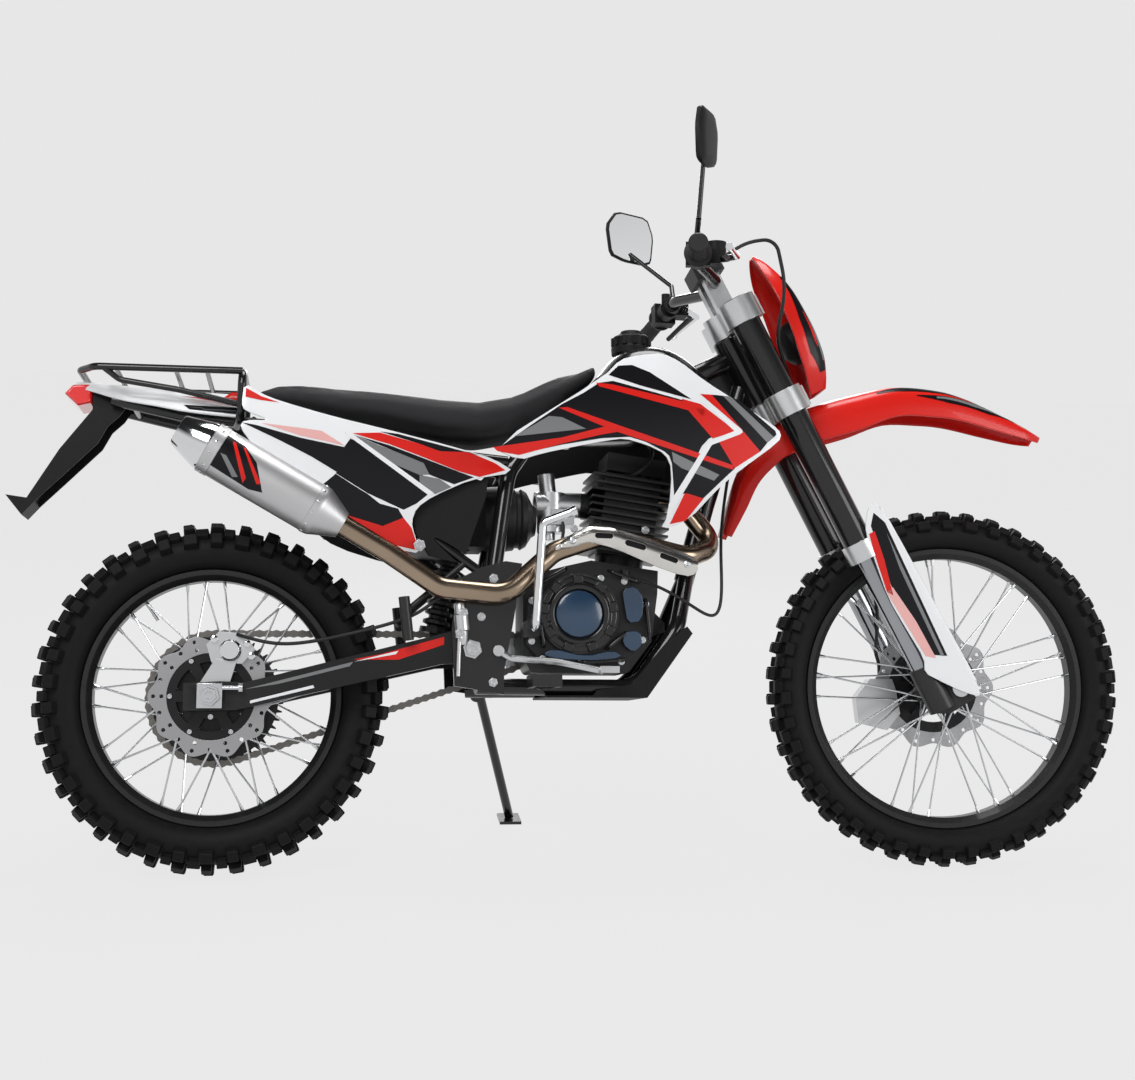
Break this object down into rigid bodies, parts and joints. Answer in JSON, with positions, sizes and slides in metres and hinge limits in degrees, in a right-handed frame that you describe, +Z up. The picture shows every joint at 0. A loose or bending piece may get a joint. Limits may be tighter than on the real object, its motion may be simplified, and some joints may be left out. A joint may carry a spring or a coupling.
{
  "type": "dirt bike",
  "caption": "Light enduro motorcycle with spoked wheels and knobbly tyres, high fenders and luggage rack, leaning on its side stand.",
  "frame": {"origin": "on the floor, under the middle of the whole bike as it leans on its side stand", "axes": "+X towards the front wheel, +Y to the bike's left (the side it leans to), +Z up from the floor"},
  "size_m": [2.1024, 0.808, 1.4042],
  "materials": {
    "bar_foam": "padded cover",
    "black_alloy": "satin black",
    "black_paint": "gloss black",
    "black_plastic": "grained",
    "black_rim": "satin black",
    "bright_steel": "zinc plated",
    "cast_alloy": "cast and machined",
    "chain_steel": "oiled",
    "chrome": "polished",
    "dark_grey_plastic": "satin",
    "disc_steel": "ground",
    "engine_black": "textured black",
    "exhaust_steel": "heat tinted",
    "lamp_lens": "clear",
    "mirror_black": "gloss black",
    "red_lens": "translucent red",
    "red_plastic": "gloss",
    "seat_cover": "grained vinyl",
    "soft_rubber": "matt",
    "tyre_rubber": "matt knobbly rubber",
    "white_plastic": "gloss, with red and black stripes"
  },
  "bodies": {
    "chassis": {"main_frame": "black_paint", "subframe": "black_paint", "swingarm": "black_alloy", "rear_axle": "bright_steel", "shock_absorber": "black_alloy", "crankcase": "engine_black", "engine_covers": "engine_black", "cylinder": "engine_black", "carburettor": "cast_alloy", "airbox": "black_plastic", "intake_boot": "soft_rubber", "header_pipe": "exhaust_steel", "muffler": "cast_alloy", "heat_shield": "chrome", "fuel_tank": "dark_grey_plastic", "fuel_cap": "black_plastic", "seat": "seat_cover", "tank_shrouds": "white_plastic", "side_panels": "white_plastic", "tail_fender": "white_plastic", "tail_lamp": "red_lens", "plate_bracket": "black_plastic", "luggage_rack": "black_paint", "footpegs": "bright_steel", "brake_pedal": "cast_alloy", "gear_lever": "black_paint", "kick_starter": "chrome", "skid_plate": "black_plastic", "drive_chain": "chain_steel", "drive_sprocket": "bright_steel", "rear_caliper": "cast_alloy"},
    "steering_head": {"triple_clamps": "cast_alloy", "fork_tubes": "black_alloy", "fork_stanchions": "chrome", "fork_feet": "black_alloy", "front_axle": "bright_steel", "fork_guards": "white_plastic", "guard_brackets": "cast_alloy", "front_caliper": "cast_alloy", "handlebar": "black_paint", "grips": "soft_rubber", "controls": "black_plastic", "bar_pad": "bar_foam", "mirrors": "mirror_black", "headlight_mask": "red_plastic", "headlight": "lamp_lens", "front_fender": "red_plastic", "front_brake_hose": "soft_rubber"},
    "front_wheel": {"front_tyre": "tyre_rubber", "front_rim": "black_rim", "front_spokes": "bright_steel", "front_hub": "black_alloy", "front_disc": "disc_steel"},
    "rear_wheel": {"rear_tyre": "tyre_rubber", "rear_rim": "black_rim", "rear_spokes": "bright_steel", "rear_hub": "black_alloy", "rear_disc": "disc_steel", "rear_sprocket": "cast_alloy"},
    "side_stand": {"side_stand": "black_paint"}
  },
  "joints": [
    {"name": "steering", "type": "hinge", "parent": "chassis", "child": "steering_head", "pos_m": [0.36887, -0.05889, 0.84774], "axis": [-0.4541, 0.2156, 0.8645], "range_deg": [-36.5, 47.5]},
    {"name": "front_wheel_spin", "type": "hinge", "parent": "steering_head", "child": "front_wheel", "pos_m": [0.70854, -0.19214, 0.33873], "axis": [0.0854, 0.9764, -0.1986], "continuous": true},
    {"name": "rear_wheel_spin", "type": "hinge", "parent": "chassis", "child": "rear_wheel", "pos_m": [-0.67819, -0.1922, 0.31291], "axis": [0, 0.9703, -0.2419], "continuous": true},
    {"name": "side_stand_fold", "type": "hinge", "parent": "chassis", "child": "side_stand", "pos_m": [-0.18119, -0.05395, 0.30531], "axis": [0.1565, 0.8878, 0.4328], "range_deg": [0, 106.5]}
  ]
}
